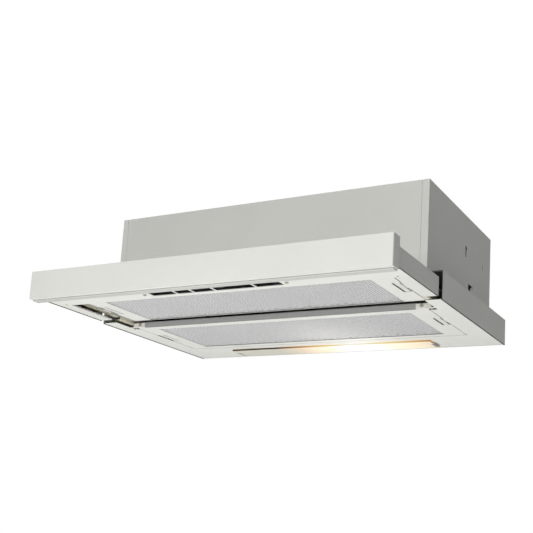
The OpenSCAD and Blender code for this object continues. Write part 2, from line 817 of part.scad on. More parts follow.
// Grip strip under the fascia, with a bull-nosed front edge
module grip_strip() {
  grip_x = half_w - grip_inset;
  grip_y0 = face_y + grip_set_back;
  nose_r = grip_h / 2;
  color([0.80, 0.80, 0.78])
  translate([-grip_x, 0, 0]) rotate([90, 0, 90]) linear_extrude(2 * grip_x) {
    pane([grip_y0 + nose_r, fascia_z0 - grip_h], [grip_y0 + grip_d, fascia_z0]);
    translate([grip_y0 + nose_r, fascia_z0 - nose_r]) circle(r = nose_r, $fn = small_fn);
  }
}

// Control box: a black tray above the control opening, with an ear at each end
// and a guide slot for each knob's stem
control_ear_l = 16;
control_ear_d = 12;
control_ear_t = 2;
control_screw_set = 8;
floor_screw_places = [
  [control_x0 - control_wall - control_screw_set, control_y],
  [control_x1 + control_wall + control_screw_set, control_y]
];
module guide_slot(knob_x, low, high) {
  block([knob_x + low - stem_w / 2 - seat, control_y - stem_w / 2 - seat, control_z1 - control_wall - over],
        [knob_x + high + stem_w / 2 + seat, control_y + stem_w / 2 + seat, control_z1 + over]);
}
module control_box() {
  outer_x0 = control_x0 - control_wall;
  outer_x1 = control_x1 + control_wall;
  color([0.06, 0.06, 0.06])
  difference() {
    union() {
      block([outer_x0, control_y0 - control_wall, control_z0], [outer_x1, control_y1 + control_wall, control_z1]);
      block([outer_x0 - control_ear_l, control_y - control_ear_d / 2, control_z0],
            [outer_x1 + control_ear_l, control_y + control_ear_d / 2, control_z0 + control_ear_t]);
    }
    block([control_x0, control_y0, control_z0 - over], [control_x1, control_y1, control_z1 - control_wall]);
    guide_slot(speed_knob_x, 0, speed_travel);
    guide_slot(light_knob_x, -light_travel, 0);
    for (place = floor_screw_places) hole(place, screw_hole_r, control_z0, control_z0 + control_ear_t);
  }
}

// Circuit board above the control box, clear of the knob stems
board_t = 1.6;
board_gap = 0.8;
module control_board() {
  color([0.15, 0.35, 0.22])
  block([control_x0, control_y0, control_z1 + board_gap], [control_x1, control_y1, control_z1 + board_gap + board_t]);
}

// Slider knob: a rounded finger bar with three ribs, and its stem
knob_round_r = 3;
knob_rib = 1;
module slider_knob(knob_x) {
  top_z = control_z1 - control_wall - seat;
  side_x = knob_w / 2 - knob_round_r;
  side_y = knob_d / 2 - knob_round_r;
  color([0.09, 0.09, 0.09])
  translate([knob_x, control_y, 0]) {
    prism(knob_low_z, top_z) {
      pane([-side_x, -knob_d / 2], [side_x, knob_d / 2]);
      pane([-knob_w / 2, -side_y], [knob_w / 2, side_y]);
      for (sx = [-1, 1], sy = [-1, 1])
        translate([sx * side_x, sy * side_y]) circle(r = knob_round_r, $fn = small_fn);
    }
    for (i = [-1 : 1])
      translate([i * side_x, 0, 0])
        block([-knob_rib / 2, -side_y, knob_low_z - knob_rib / 2], [knob_rib / 2, side_y, knob_low_z + knob_rib]);
    block([-stem_w / 2, -stem_w / 2, top_z - over], [stem_w / 2, stem_w / 2, control_z1 + seat]);
  }
}
module speed_slider() { slider_knob(speed_knob_x); }
module light_slider() { slider_knob(light_knob_x); }

// Filter panel: a tray with the mesh window, hooks at one edge and a latch window at each end
module filter_frame(y0, y1, z, rim0, rim1, latch_y) {
  latch_top_z = z + latch_lift + latch_t + seat;
  color([0.91, 0.91, 0.89])
  difference() {
    union() {
      prism(z, z + sheet_t) pane([-filter_half, y0], [filter_half, y1]);
      prism(z, z + filter_t)
        difference() {
          pane([-filter_half, y0], [filter_half, y1]);
          pane([sheet_t - filter_half, y0 + sheet_t], [filter_half - sheet_t, y1 - sheet_t]);
        }
      both_sides()
        block([mat_wall_x, y0, z], [mat_wall_x + sheet_t, y1, z + filter_t - sheet_t]);
    }
    bar(mesh_half, y0 + rim0, y1 - rim1, z - over, z + filter_t + over);
    both_sides() {
      block([latch_window_x0, latch_y - latch_l / 2, z - over], [filter_half + over, latch_y + latch_l / 2, z + sheet_t]);
      block([filter_half - sheet_t - over, latch_y - lip_slot_w / 2, z],
            [filter_half + over, latch_y + lip_slot_w / 2, latch_top_z]);
    }
  }
}
module filter_hooks(y0, y1, z) {
  both_sides() block([hook_x - hook_w / 2, y0, z], [hook_x + hook_w / 2, y1, z + sheet_t]);
}
module front_filter_frame() {
  filter_frame(front_filter_y0, front_filter_y1, front_filter_z, rim_front, rim_thin, front_latch_y);
  color([0.91, 0.91, 0.89]) filter_hooks(front_filter_y0 - hook_reach, front_filter_y0 + sheet_t / 2, front_filter_z + seat);
}
module rear_filter_frame() {
  filter_frame(rear_filter_y0, rear_filter_y1, base_z, rim_front, rim_rear, rear_latch_y);
  color([0.91, 0.91, 0.89]) filter_hooks(rear_filter_y1 - sheet_t / 2, rear_filter_y1 + hook_reach, plate_top_z + seat);
}

// Pleated filter mat that lies in the panel
module filter_mat(y0, y1, z) {
  pleat_h = filter_t - sheet_t - mat_t - 2 * seat;
  mat_x = mesh_half + mat_grip;
  low_z = z + sheet_t + seat;
  folds = floor(2 * mat_x / pleat_pitch);
  pitch = 2 * mat_x / folds;
  color([0.80, 0.80, 0.80])
  translate([0, y1, 0]) rotate([90, 0, 0]) linear_extrude(y1 - y0)
    polygon(concat(
      [for (i = [0 : folds]) [-mat_x + i * pitch, low_z + (i % 2) * pleat_h]],
      [for (i = [folds : -1 : 0]) [-mat_x + i * pitch, low_z + (i % 2) * pleat_h + mat_t]]
    ));
}
module front_filter_mat() {
  filter_mat(front_filter_y0 + rim_front - mat_grip, front_filter_y1 - sheet_t - seat, front_filter_z);
}
module rear_filter_mat() {
  filter_mat(rear_filter_y0 + rim_front - mat_grip, rear_filter_y1 - rim_rear + mat_grip, base_z);
}

// Sliding latch: a plate above the panel sheet, the ridge that the finger pulls and the tongue
module latch(side, latch_y, z) {
  plate_z = z + latch_lift;
  plate_half = latch_l / 2 + latch_lap;
  ridge_half = latch_l / 2 - latch_end_play;
  ridge_x0 = latch_window_x0 + latch_travel + seat;
  color([0.93, 0.93, 0.91])
  on_side(side)
  translate([0, latch_y, 0]) {
    block([latch_window_x0 + latch_slit, -plate_half, plate_z], [pad_x1, plate_half, plate_z + latch_t]);
    block([ridge_x0, -ridge_half, z + seat], [pad_x1, ridge_half, plate_z + latch_t]);
    block([pad_x1 - over, -tongue_w / 2, plate_z], [duct_wall_x0 - seat, tongue_w / 2, plate_z + latch_t]);
  }
}
module front_latch_left() { latch(-1, front_latch_y, front_filter_z); }
module front_latch_right() { latch(1, front_latch_y, front_filter_z); }
module rear_latch_left() { latch(-1, rear_latch_y, base_z); }
module rear_latch_right() { latch(1, rear_latch_y, base_z); }

// Scroll outline: a spiral that grows from the tongue to the outlet, then runs straight
// to the plenum under the duct
function scroll_point(i, r0) =
  let (share = i / scroll_steps, turn = tongue_turn - scroll_turn * share, r = r0 + scroll_growth * share)
  [impeller_x + r * cos(turn), r * sin(turn)];
module scroll_outline(grow) {
  polygon(concat(
    [for (i = [0 : scroll_steps]) scroll_point(i, scroll_r0 + grow)],
    [[over - plenum_x, scroll_r1 + grow], [over - plenum_x, tongue_y - grow]]
  ));
}
module plenum_outline(grow) {
  pane([-plenum_x - grow, -plenum_x - grow], [plenum_x + grow, scroll_r1 + grow]);
}

// Lower half of the blower casing: floor with the inlet ring, scroll wall and plenum wall
inlet_ring_h = 4;
module scroll_lower() {
  color([0.22, 0.23, 0.24]) {
    difference() {
      prism(scroll_z0, scroll_z1) {
        scroll_outline(mould_t);
        plenum_outline(mould_t);
      }
      prism(scroll_z0 + mould_t, scroll_z1 + over) {
        scroll_outline(0);
        plenum_outline(0);
      }
      translate([impeller_x, 0, scroll_z0 - over]) cylinder(r = inlet_r, h = mould_t + 2 * over);
    }
    translate([impeller_x, 0, 0]) rotate_extrude()
      pane([inlet_r - mould_t, scroll_z0], [inlet_r + seat, scroll_z0 + inlet_ring_h]);
  }
}

// Upper half: the cover over the scroll and the plenum that rises to the duct
module scroll_cover() {
  color([0.25, 0.26, 0.27])
  difference() {
    union() {
      prism(scroll_z1, cover_z) scroll_outline(mould_t);
      prism(scroll_z1, roof_z) plenum_outline(mould_t);
    }
    prism(scroll_z1 - over, roof_z - mould_t) plenum_outline(0);
    translate([0, 0, roof_z - mould_t - over]) cylinder(r = collar_in, h = mould_t + 2 * over);
    translate([impeller_x, 0, scroll_z1 - over]) cylinder(r = hub_r + mould_t, h = mould_t + 2 * over);
    for (turn = collar_screw_turns)
      hole(collar_screw_r * [cos(turn), sin(turn)], screw_hole_r, roof_z - mould_t, roof_z);
  }
}

// Impeller: curved blades between the back disc and the end ring, on a hub
blade_lean = 14;
blade_bends = 4;
ring_h = 3;
disc_t = 2;
module blade() {
  r0 = impeller_r - blade_depth + blade_t;
  r1 = impeller_r - blade_t;
  line = [for (i = [0 : blade_bends])
    let (share = i / blade_bends, r = r0 + (r1 - r0) * share, lean = blade_lean * sin(90 * share))
    [r * cos(lean), r * sin(lean)]];
  polygon(concat(
    [for (i = [0 : blade_bends]) line[i] - [0, blade_t / 2]],
    [for (i = [blade_bends : -1 : 0]) line[i] + [0, blade_t / 2]]
  ));
}
module impeller() {
  color([0.30, 0.31, 0.33])
  translate([impeller_x, 0, 0]) {
    prism(impeller_z0 + ring_h / 2, impeller_z1 - disc_t / 2)
      for (i = [0 : blade_count - 1]) rotate(i * 360 / blade_count) blade();
    rotate_extrude() {
      pane([impeller_r - blade_depth, impeller_z0], [impeller_r, impeller_z0 + ring_h]);
      pane([shaft_r, impeller_z1 - disc_t], [impeller_r, impeller_z1]);
      pane([shaft_r, impeller_z1 - hub_below], [hub_r, impeller_z1 + hub_above]);
    }
  }
}

// Motor shaft that carries the impeller, and the nut under its hub
module motor_shaft() {
  color([0.75, 0.75, 0.76])
  translate([impeller_x, 0, shaft_low_z]) cylinder(r = shaft_r, h = shaft_top_z - shaft_low_z, $fn = small_fn);
}
module shaft_nut() {
  color([0.70, 0.70, 0.70])
  translate([impeller_x, 0, nut_z])
    difference() {
      cylinder(r = nut_r, h = nut_h, $fn = 6);
      translate([0, 0, -over]) cylinder(r = shaft_r, h = nut_h + 2 * over, $fn = small_fn);
    }
}

// Motor: can with stepped end bells, cooling ribs and three feet
mount_r = 6;
mount_in_set = 2;
mount_turns = [60, 180, 300];
bell_h = 5;
rib_count = 18;
rib_w = 2;
rib_out = 1.5;
rib_in = 3;
rib_set = 1;
foot_rim = 1;
module at_mounts() {
  translate([impeller_x, 0, 0])
    for (turn = mount_turns) rotate(turn) translate([motor_r - mount_in_set, 0, 0]) children();
}
module motor() {
  color([0.60, 0.61, 0.62])
  difference() {
    union() {
      translate([impeller_x, 0, 0]) {
        rotate_extrude() {
          pane([0, motor_z0], [motor_r - bell_h, motor_z1]);
          pane([0, motor_z0 + bell_h], [motor_r, motor_z1 - bell_h]);
        }
        for (i = [0 : rib_count - 1])
          rotate(i * 360 / rib_count)
            block([motor_r - rib_in, -rib_w / 2, motor_z0 + bell_h + rib_set],
                  [motor_r + rib_out, rib_w / 2, motor_z1 - bell_h - rib_set]);
      }
      at_mounts() translate([0, 0, motor_z0]) cylinder(r = mount_r + foot_rim, h = mount_h, $fn = small_fn);
    }
    translate([impeller_x, 0, motor_z0 - over])
      cylinder(r = shaft_r + running_play, h = shaft_top_z - motor_z0 + over + seat, $fn = small_fn);
  }
}

// Rubber mounts under the motor feet
module motor_mounts() {
  color([0.10, 0.10, 0.10])
  at_mounts() translate([0, 0, cover_z]) cylinder(r = mount_r, h = mount_h, $fn = small_fn);
}

// Run capacitor, standing on the intake plate between the plenum and the side wall
capacitor_front_set = 68;
capacitor_place = [(plenum_x + housing_x) / 2, capacitor_front_set - housing_y];
capacitor_r = 15;
capacitor_h = 58;
capacitor_rim = 2;
capacitor_rim_h = 5;
blade_pin = [2, 6, 9];
blade_pin_share = 0.4;
module capacitor() {
  color([0.85, 0.85, 0.84])
  translate([capacitor_place.x, capacitor_place.y, scroll_z0]) {
    cylinder(r = capacitor_r, h = capacitor_h);
    cylinder(r = capacitor_r + capacitor_rim, h = capacitor_rim_h);
    for (side = [-1, 1])
      translate([side * capacitor_r * blade_pin_share, 0, 0])
        block([-blade_pin.x / 2, -blade_pin.y / 2, capacitor_h - over],
              [blade_pin.x / 2, blade_pin.y / 2, capacitor_h + blade_pin.z]);
  }
}

// Terminal box under the cable hole, and its lid
box_w = 64;
box_d = 56;
box_h = 34;
box_x0 = cable_place.x - box_w / 2;
box_x1 = cable_place.x + box_w / 2;
box_y0 = cable_place.y - box_d / 2;
box_y1 = cable_place.y + box_d / 2;
box_z0 = roof_z - box_h;
module terminal_box() {
  color([0.20, 0.20, 0.21])
  difference() {
    block([box_x0, box_y0, box_z0], [box_x1, box_y1, roof_z]);
    block([box_x0 + mould_t, box_y0 + mould_t, box_z0 - over], [box_x1 - mould_t, box_y1 - mould_t, roof_z - mould_t]);
    hole(cable_place, cable_r + cable_play, roof_z - mould_t, roof_z);
  }
}
module terminal_lid() {
  color([0.24, 0.24, 0.25])
  block([box_x0, box_y0, box_z0 - mould_t], [box_x1, box_y1, box_z0]);
}

// Cable gland in the housing top
gland_h = 12;
gland_nut_r = 11;
gland_nut_h = 4;
cable_bore_r = 4.5;
module cable_gland() {
  color([0.12, 0.12, 0.12])
  translate([cable_place.x, cable_place.y, 0])
  difference() {
    union() {
      translate([0, 0, roof_z - mould_t]) cylinder(r = cable_r, h = mould_t + sheet_t + over, $fn = small_fn);
      cylinder(r = gland_nut_r, h = gland_nut_h, $fn = 6);
      cylinder(r = cable_r - mould_t / 2, h = gland_h, $fn = small_fn);
    }
    translate([0, 0, roof_z - mould_t - over])
      cylinder(r = cable_bore_r, h = gland_h + mould_t + sheet_t + 2 * over, $fn = small_fn);
  }
}

// Duct collar: the spigot, its base flange, the pin holes and the flap stops
stop_w = 8;
stop_reach = 4;
stop_t = 2;
stop_turns = [50, 130, 230, 310];
module duct_collar() {
  stop_z = flap_pin_z - flap_t / 2 - seat;
  color([0.16, 0.16, 0.17])
  difference() {
    union() {
      rotate_extrude($fn = 96) {
        pane([collar_in, 0], [collar_r, collar_h]);
        pane([collar_in, 0], [collar_r + collar_flange_w, collar_flange_t]);
      }
      for (turn = stop_turns)
        rotate(turn)
          block([collar_in - stop_reach, -stop_w / 2, stop_z - stop_t], [collar_in + collar_t / 2, stop_w / 2, stop_z]);
    }
    translate([-collar_dia, 0, flap_pin_z])
      rotate([0, 90, 0]) cylinder(r = flap_pin_r, h = 2 * collar_dia, $fn = small_fn);
    for (turn = collar_screw_turns)
      hole(collar_screw_r * [cos(turn), sin(turn)], screw_hole_r, 0, collar_flange_t);
  }
}

// Non-return flap: half a disc with two knuckles round the pin
module flap(side, knuckle_shares) {
  color([0.20, 0.20, 0.21])
  translate([0, 0, flap_pin_z])
  difference() {
    union() {
      intersection() {
        prism(-flap_t / 2, flap_t / 2) circle(r = flap_r, $fn = 96);
        translate([0, side * (flap_root + flap_r / 2), 0]) cube([2 * flap_r, flap_r, collar_h], center = true);
      }
      for (share = knuckle_shares)
        translate([share * flap_r, 0, 0]) {
          translate([-knuckle_l / 2, 0, 0])
            rotate([0, 90, 0]) cylinder(r = knuckle_r, h = knuckle_l, $fn = small_fn);
          translate([0, side * (flap_root + over) / 2, 0]) cube([knuckle_l, flap_root + over, flap_t], center = true);
        }
    }
    translate([-collar_dia, 0, 0])
      rotate([0, 90, 0]) cylinder(r = flap_pin_r + running_play, h = 2 * collar_dia, $fn = small_fn);
  }
}
module flap_front() { flap(-1, front_knuckle_shares); }
module flap_rear() { flap(1, rear_knuckle_shares); }
module flap_pin() {
  pin_half = collar_r - collar_t / 2;
  color([0.75, 0.75, 0.75])
  translate([-pin_half, 0, flap_pin_z])
    rotate([0, 90, 0]) cylinder(r = flap_pin_r, h = 2 * pin_half, $fn = small_fn);
}

// Reflector trough above the lamp window
module lamp_trough() {
  y0 = lamp_y0 - trough_margin;
  y1 = lamp_y1 + trough_margin;
  color([0.85, 0.85, 0.85])
  difference() {
    bar(trough_x, y0, y1, plate_top_z, trough_z1);
    bar(trough_x - sheet_t, y0 + sheet_t, y1 - sheet_t, plate_top_z - over, trough_z1 - sheet_t);
  }
}

// Lamp holder at the right-hand end of the trough
holder_r = 12;
holder_l = 26;
socket_play = 0.3;
module lamp_holder() {
  color([0.92, 0.91, 0.88])
  translate([0, lamp_y, lamp_z])
  difference() {
    union() {
      translate([holder_x, 0, 0])
        rotate([0, 90, 0]) cylinder(r = holder_r, h = holder_l, $fn = small_fn);
      block([holder_x + holder_l - over, -holder_r, -holder_r], [trough_x - sheet_t, holder_r, holder_r]);
    }
    translate([holder_x - over, 0, 0])
      rotate([0, 90, 0]) cylinder(r = cap_r + socket_play, h = cap_l + over, $fn = small_fn);
  }
}

// Candle bulb lying along the trough: cap, neck and glass, as radii and shares of the glass length
glass_profile_shares = [
  [0, 0.46], [0.1, 0.68], [0.25, 0.92], [0.4, 1], [0.55, 0.93], [0.72, 0.7], [0.88, 0.4], [1, 0]
];
module lamp_bulb() {
  color([1, 0.93, 0.75])
  translate([holder_x + cap_l - socket_play, lamp_y, lamp_z])
  rotate([0, -90, 0]) rotate_extrude($fn = 48) {
    pane([0, 0], [cap_r, cap_l]);
    polygon(concat(
      [[0, cap_l]],
      [for (share = glass_profile_shares) [bulb_r * share[1], cap_l + bulb_l * share[0]]]
    ));
  }
}

// Frosted cover in the lamp window, with a rim that lies on the underside plate
cover_rim = 2;
cover_play = 0.4;
module lamp_cover() {
  color([0.97, 0.93, 0.82]) {
    bar(lamp_half - cover_play, lamp_y0 + cover_play, lamp_y1 - cover_play, base_z, plate_top_z + sheet_t);
    bar(lamp_half + cover_rim, lamp_y0 - cover_rim, lamp_y1 + cover_rim, plate_top_z, plate_top_z + sheet_t);
  }
}

// Switch that the drawer reaches when it is shut, and its plunger
switch_side_set = 40;
switch_x = switch_side_set - housing_x;
switch_w = 20;
switch_d = 16;
switch_h = 12;
switch_wall = 3;
plunger_travel = 2.5;
plunger_r = 2;
plunger_y = front_filter_y1 + drawer_travel + 2 * seat;
switch_y = plunger_y + plunger_travel + seat;
switch_z = drawer_top_z - sheet_t / 2;
module drawer_switch() {
  color([0.10, 0.10, 0.12])
  difference() {
    union() {
      block([switch_x - switch_w / 2, switch_y, switch_z - switch_h / 2],
            [switch_x + switch_w / 2, switch_y + switch_d, switch_z + switch_h / 2]);
      block([switch_x - switch_w / 2, switch_y + switch_wall, switch_z],
            [switch_x + switch_w / 2, switch_y + switch_d - switch_wall, deck_z]);
    }
    translate([switch_x, switch_y - over, switch_z])
      rotate([-90, 0, 0]) cylinder(r = plunger_r + running_play, h = switch_d - switch_wall + over, $fn = small_fn);
  }
}
module switch_plunger() {
  color([0.75, 0.1, 0.1])
  translate([switch_x, plunger_y, switch_z])
    rotate([-90, 0, 0]) cylinder(r = plunger_r, h = switch_d - switch_wall - seat, $fn = small_fn);
}

// Screws that hold the intake plate on the frame
module housing_screws() {
  color([0.80, 0.80, 0.80])
  for (place = ledge_screws) translate([place.x, place.y, scroll_z0]) screw(3 * sheet_t);
}

// Screws that hold the cross rail on the ears
module cross_rail_screws() {
  color([0.80, 0.80, 0.80])
  both_sides() translate([ear_screw_x, ear_y0, ear_screw_z]) rotate([90, 0, 0]) screw(3 * sheet_t);
}

// Screws that hold the drawer floor on the fascia
module fascia_screws() {
  color([0.80, 0.80, 0.80])
  for (place = fascia_screw_places)
    translate([place.x, fascia_back_y + sheet_t, place.y]) rotate([-90, 0, 0]) screw(4 * sheet_t);
}

// Screws that hold the control box on the drawer floor, heads below
module floor_screws() {
  color([0.80, 0.80, 0.80])
  for (place = floor_screw_places)
    translate([place.x, place.y, floor_z]) rotate([180, 0, 0]) screw(sheet_t + control_ear_t);
}

// Screws that hold the duct collar on the housing top
module collar_screws() {
  color([0.80, 0.80, 0.80])
  for (turn = collar_screw_turns)
    rotate(turn) translate([collar_screw_r, 0, collar_flange_t]) screw(collar_flange_t + sheet_t + 2 * mould_t);
}

housing_wrap();
housing_front();
housing_top();
intake_plate();
lower_frame();
underside_plate();
cross_rail();
outer_rail_left();
outer_rail_right();
ball_cage_left();
ball_cage_right();
inner_rail_left();
inner_rail_right();
drawer_side_left();
drawer_side_right();
drawer_floor();
drawer_top();
fascia();
grip_strip();
control_box();
control_board();
speed_slider();
light_slider();
front_filter_frame();
front_filter_mat();
front_latch_left();
front_latch_right();
rear_filter_frame();
rear_filter_mat();
rear_latch_left();
rear_latch_right();
scroll_lower();
scroll_cover();
impeller();
motor_shaft();
shaft_nut();
motor();
motor_mounts();
capacitor();
terminal_box();
terminal_lid();
cable_gland();
duct_collar();
flap_front();
flap_rear();
flap_pin();
lamp_trough();
lamp_holder();
lamp_bulb();
lamp_cover();
drawer_switch();
switch_plunger();
housing_screws();
cross_rail_screws();
fascia_screws();
floor_screws();
collar_screws();
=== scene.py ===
"""Looks of the pull-out range hood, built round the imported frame. Lengths are in metres."""
import json
import math

import bpy
from mathutils import Matrix, Vector

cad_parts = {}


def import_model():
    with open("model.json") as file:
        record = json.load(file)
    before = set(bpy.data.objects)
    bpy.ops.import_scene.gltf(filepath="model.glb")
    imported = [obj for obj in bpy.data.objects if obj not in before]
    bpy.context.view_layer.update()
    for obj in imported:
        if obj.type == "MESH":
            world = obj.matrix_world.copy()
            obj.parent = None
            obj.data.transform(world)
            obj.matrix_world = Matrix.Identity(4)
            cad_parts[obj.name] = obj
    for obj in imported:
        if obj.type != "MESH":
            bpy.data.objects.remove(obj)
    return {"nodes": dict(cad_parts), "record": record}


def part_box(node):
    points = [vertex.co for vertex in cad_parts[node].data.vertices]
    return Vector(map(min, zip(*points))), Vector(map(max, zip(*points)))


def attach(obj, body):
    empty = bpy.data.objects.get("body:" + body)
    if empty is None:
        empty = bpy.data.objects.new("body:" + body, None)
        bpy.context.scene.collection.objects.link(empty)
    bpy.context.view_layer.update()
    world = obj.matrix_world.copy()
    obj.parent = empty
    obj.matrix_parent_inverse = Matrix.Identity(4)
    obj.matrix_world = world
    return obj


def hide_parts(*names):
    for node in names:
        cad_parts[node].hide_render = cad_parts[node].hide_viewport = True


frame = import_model()
NODES = frame["nodes"]
BODY_OF = {node: body for body, nodes in frame["record"]["behaviour"]["bodies"].items()
           for node in nodes}
SLOT_OF = {part["node"]: part["material_slot"] for part in frame["record"]["subparts"]}
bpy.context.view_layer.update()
MM = 0.001

# Camera, fitted to the photo's edges
CAMERA_PLACE = (0.74267, -1.38307, -0.52467)
CAMERA_YAW = 0.527
CAMERA_PITCH = 0.187
CAMERA_ROLL = 0.064
CAMERA_NEAR = 0.05
CAMERA_FAR = 60
FOCAL_PIXELS = 961.77
PICTURE_PIXELS = 533
SENSOR_MM = 36.0
HORIZON_ROW = 359.19

# Stage
WORLD_LEVEL = 0.10
FLOOR_Z = -1.5
FLOOR_HALF = 9.0
FLOOR_COLOUR = (0.86, 0.86, 0.85)
WHITE = (1.0, 1.0, 1.0)

# Softboxes: place, what they point at, width and height, watts, colour
SOFTBOXES = {
    "key_front": ((0.46, -2.4, 0.08), (0.1, -0.2, -0.1), (1.8, 1.2), 41, WHITE),
    "low_front": ((-0.05, -0.55, -1.35), (0, -0.05, -0.18), (1.3, 1.3), 21, WHITE),
    "top_soft": ((-0.6, 0.2, 2.2), (0, 0, 0), (2.2, 2.2), 38, WHITE),
    "lens_spill": ((0.055, 0.035, -0.25), (0.045, 0.045, -0.18), (0.12, 0.03), 0.045,
                   (1.0, 0.97, 0.9)),
    "rear_soft": ((-0.9, 3.0, 0.7), (0, 0, -0.1), (2.2, 1.6), 60, WHITE),
}

# Colours of the finishes, as linear values
PAINT = (0.600, 0.603, 0.570)
# Painted light: a lighter copy of the body paint on the underside and filter frames, for light from
# below
UNDERSIDE_PAINTED_LIGHT = (0.630, 0.630, 0.598)
# Painted shade: the cross rail darker grey, for the drawer's shadow over it
RAIL_PAINTED_SHADE = (0.280, 0.280, 0.272)
# Painted shade: near black for faces in gaps, seams and recesses, where shade falls
PAINTED_SHADE_COLOUR = (0.050, 0.050, 0.048)
# Painted shade for the strips along the lower bends
HEM_PAINTED_SHADE = (0.030, 0.028, 0.024)
# Painted shade: the grip strip darker, for the shade of its recess under the fascia
GRIP_PAINTED_SHADE = 0.74
OLIVE_ZINC = (0.800, 0.750, 0.600)
PALE_ZINC = (0.900, 0.860, 0.730)
SCREW_DARK = (0.30, 0.27, 0.22)
SCREW_PALE = (0.42, 0.38, 0.32)
STEEL = (0.620, 0.620, 0.620)
STEEL_SHADE = 0.85
ALUMINIUM = (0.880, 0.880, 0.885)
# Painted shade: the filter mat darkened for the shade seen between the mesh strands
MAT_PAINTED_SHADE = 0.31
# Painted shade: the filter windows' rear walls as dark foil
WALL_PAINTED_SHADE = 0.16
STRAND_SHADE = 1.12
MOTOR_METAL = (0.42, 0.43, 0.44)
LATCH_PLASTIC = (0.60, 0.60, 0.57)
CONTROL_PLASTIC = (0.012, 0.012, 0.012)
BLOWER_PLASTIC = (0.035, 0.036, 0.038)
SWITCH_PLASTIC = (0.02, 0.02, 0.025)
PLUNGER_PLASTIC = (0.42, 0.03, 0.025)
CAPACITOR_PLASTIC = (0.62, 0.62, 0.60)
MOUNT_RUBBER = (0.02, 0.02, 0.02)
CERAMIC = (0.80, 0.78, 0.73)
BOARD_DARK = (0.02, 0.13, 0.06, 1)
BOARD_PALE = (0.025, 0.16, 0.07, 1)
BOARD_TRACK = (0.16, 0.24, 0.09, 1)
REFLECTOR_PALE = (0.86, 0.85, 0.82)
REFLECTOR_DARK = (0.72, 0.71, 0.68)
BULB_GLASS = (0.90, 0.88, 0.82)
LENS_PLASTIC = (0.57, 0.555, 0.47)
LENS_EDGE = (0.03, 0.028, 0.022)

# The lamp: its light is brightest at GLOW_X and dies away to the left and the right.
# The steps run from the brightest place outwards.
GLOW_X = 0.050
GLOW_LEFT = 0.150
GLOW_RIGHT = 0.210
GLOW_STEPS = [(0.0, (0.46, 0.48, 0.56)), (0.18, (0.44, 0.46, 0.48)), (0.32, (0.42, 0.38, 0.27)),
              (0.55, (0.36, 0.26, 0.13)), (0.70, (0.24, 0.12, 0.06)), (0.85, (0.10, 0.06, 0.01)),
              (1.0, (0.0, 0.0, 0.0))]
EDGE_STEPS = [(0.0, (0.80, 0.80, 0.75)), (0.27, (0.73, 0.58, 0.28)), (0.40, (0.69, 0.47, 0.20)),
              (0.53, (0.55, 0.34, 0.12)), (0.67, (0.40, 0.20, 0.06)), (0.80, (0.26, 0.12, 0.03)),
              (1.0, (0.03, 0.01, 0.0))]
BULB_STEPS = [(0.0, (1.0, 0.90, 0.66)), (1.0, (1.0, 0.72, 0.40))]
LENS_STRENGTH = 1.0
BULB_STRENGTH = 6.0


# Shader tools

class Shader:
    """A material's node tree, with the few nodes that the finishes share.

    Scales are in cells per metre. An input takes a socket to link or a plain value.
    """

    def __init__(self, name):
        self.material = bpy.data.materials.new(name)
        self.material.use_nodes = True
        self.tree = self.material.node_tree
        self.tree.nodes.clear()
        out = self.tree.nodes.new("ShaderNodeOutputMaterial")
        self.bsdf = self.tree.nodes.new("ShaderNodeBsdfPrincipled")
        self.tree.links.new(self.bsdf.outputs["BSDF"], out.inputs["Surface"])
        self.place = self.tree.nodes.new("ShaderNodeTexCoord").outputs["Object"]

    def feed(self, node, inputs):
        for name, value in inputs.items():
            socket = node.inputs[name.replace("_", " ")]
            if isinstance(value, bpy.types.NodeSocket):
                self.tree.links.new(value, socket)
            else:
                socket.default_value = value

    def set(self, **inputs):
        """Sets the inputs of the surface itself."""
        self.feed(self.bsdf, inputs)

    def node(self, kind, **inputs):
        node = self.tree.nodes.new("ShaderNode" + kind)
        self.feed(node, inputs)
        return node

    def stretched(self, scale):
        """Object coordinates, scaled per axis."""
        return self.node("Mapping", Scale=scale, Vector=self.place).outputs["Vector"]

    def noise(self, scale, detail=2.0, vector=None):
        vector = vector or self.place
        return self.node("TexNoise", Scale=scale, Detail=detail, Vector=vector).outputs["Fac"]

    def cells(self, scale):
        return self.node("TexVoronoi", Scale=scale, Vector=self.place)

    def ramp(self, factor, stops):
        node = self.node("ValToRGB", Fac=factor)
        elements = node.color_ramp.elements
        while len(elements) < len(stops):
            elements.new(0.5)
        for element, (at, colour) in zip(elements, stops):
            element.position = at
            element.color = (*colour, 1.0)
        return node.outputs["Color"]

    def span(self, factor, low, high, start=0.0, end=1.0):
        """The factor from start to end, mapped to low to high."""
        return self.node("MapRange", Value=factor, From_Min=start, From_Max=end,
                         To_Min=low, To_Max=high).outputs["Result"]

    def multiplied(self, first, second, share):
        """The first colour, darkened by the second to the given share."""
        node = self.tree.nodes.new("ShaderNodeMix")
        node.data_type = "RGBA"
        node.blend_type = "MULTIPLY"
        self.feed(node, {"Factor": share, "A": first, "B": second})
        return node.outputs["Result"]

    def larger(self, first, second):
        node = self.tree.nodes.new("ShaderNodeMath")
        node.operation = "MAXIMUM"
        self.tree.links.new(first, node.inputs[0])
        self.tree.links.new(second, node.inputs[1])
        return node.outputs[0]

    def bump(self, height, depth, strength):
        node = self.node("Bump", Height=height, Distance=depth, Strength=strength)
        self.set(Normal=node.outputs["Normal"])


def shade(colour, factor):
    return tuple(min(1.0, c * factor) for c in colour)


def tones(colour, dark, light):
    """Ramp stops that vary a colour between two shades of itself."""
    return [(0.3, shade(colour, dark)), (0.7, shade(colour, light))]


# Finishes

